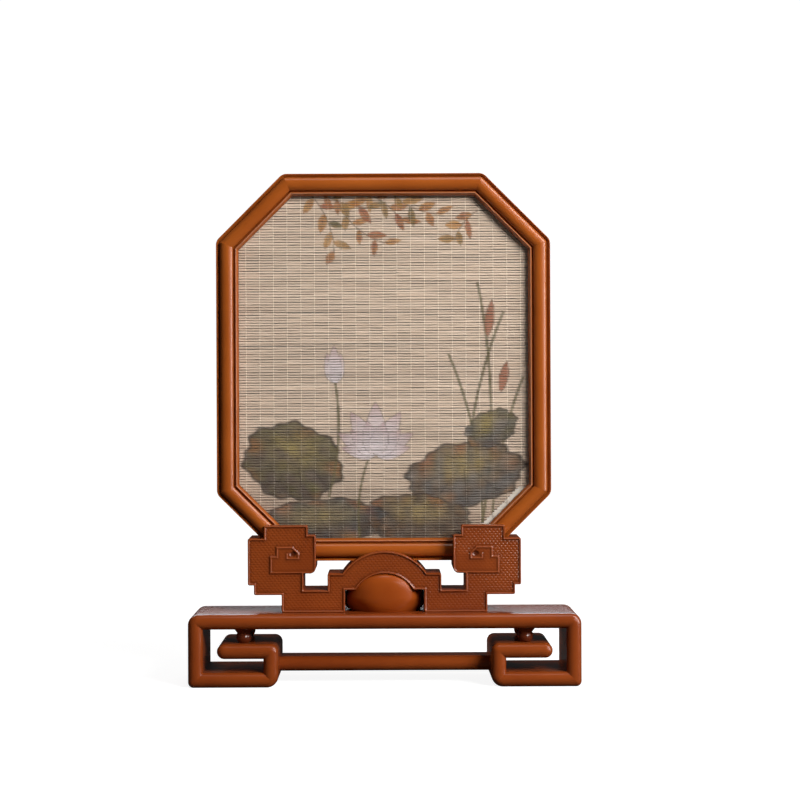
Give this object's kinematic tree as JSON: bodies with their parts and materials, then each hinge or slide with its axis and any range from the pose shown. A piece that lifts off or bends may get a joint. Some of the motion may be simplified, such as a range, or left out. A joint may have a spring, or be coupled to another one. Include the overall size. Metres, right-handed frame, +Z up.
{
  "type": "table screen",
  "caption": "Desk screen: an eight-sided moulded frame with a bamboo-slat panel, standing in the slot of a carved fret-scroll stand, from which it lifts out.",
  "frame": {"origin": "on the table, under the middle of the stand", "axes": "+X to the viewer's right, +Y from the picture side to the back, +Z up"},
  "size_m": [0.237, 0.06, 0.3118],
  "materials": {
    "lacquer": "satin-gloss lacquer",
    "bare_wood": "bare",
    "bamboo": "matt, printed",
    "thread": "matt",
    "paper": "matt",
    "brad_steel": "dull"
  },
  "bodies": {
    "stand": {"base_top": "lacquer", "left_leg": "lacquer", "right_leg": "lacquer", "left_foot": "lacquer", "right_foot": "lacquer", "left_riser": "lacquer", "right_riser": "lacquer", "left_curl": "lacquer", "right_curl": "lacquer", "left_bead": "lacquer", "right_bead": "lacquer", "stretcher": "lacquer", "apron_front": "lacquer", "apron_back": "lacquer", "pebble": "lacquer", "apron_core": "lacquer", "mitre_keys": "bare_wood", "pebble_dowel": "bare_wood"},
    "screen": {"frame_top_rail": "lacquer", "frame_top_right_corner": "lacquer", "frame_right_stile": "lacquer", "frame_bottom_right_corner": "lacquer", "frame_bottom_rail": "lacquer", "frame_bottom_left_corner": "lacquer", "frame_left_stile": "lacquer", "frame_top_left_corner": "lacquer", "frame_splines": "bare_wood", "bamboo_slats": "bamboo", "binding_threads": "thread", "lining_paper": "paper", "backing_board": "bare_wood", "slip_top": "lacquer", "slip_top_right": "lacquer", "slip_right": "lacquer", "slip_bottom_right": "lacquer", "slip_bottom": "lacquer", "slip_bottom_left": "lacquer", "slip_left": "lacquer", "slip_top_left": "lacquer", "slip_brads": "brad_steel"}
  },
  "joints": [
    {"name": "screen_lift", "type": "slide", "parent": "stand", "child": "screen", "axis": [0, 0, 1], "range_m": [0, 0.06]}
  ]
}
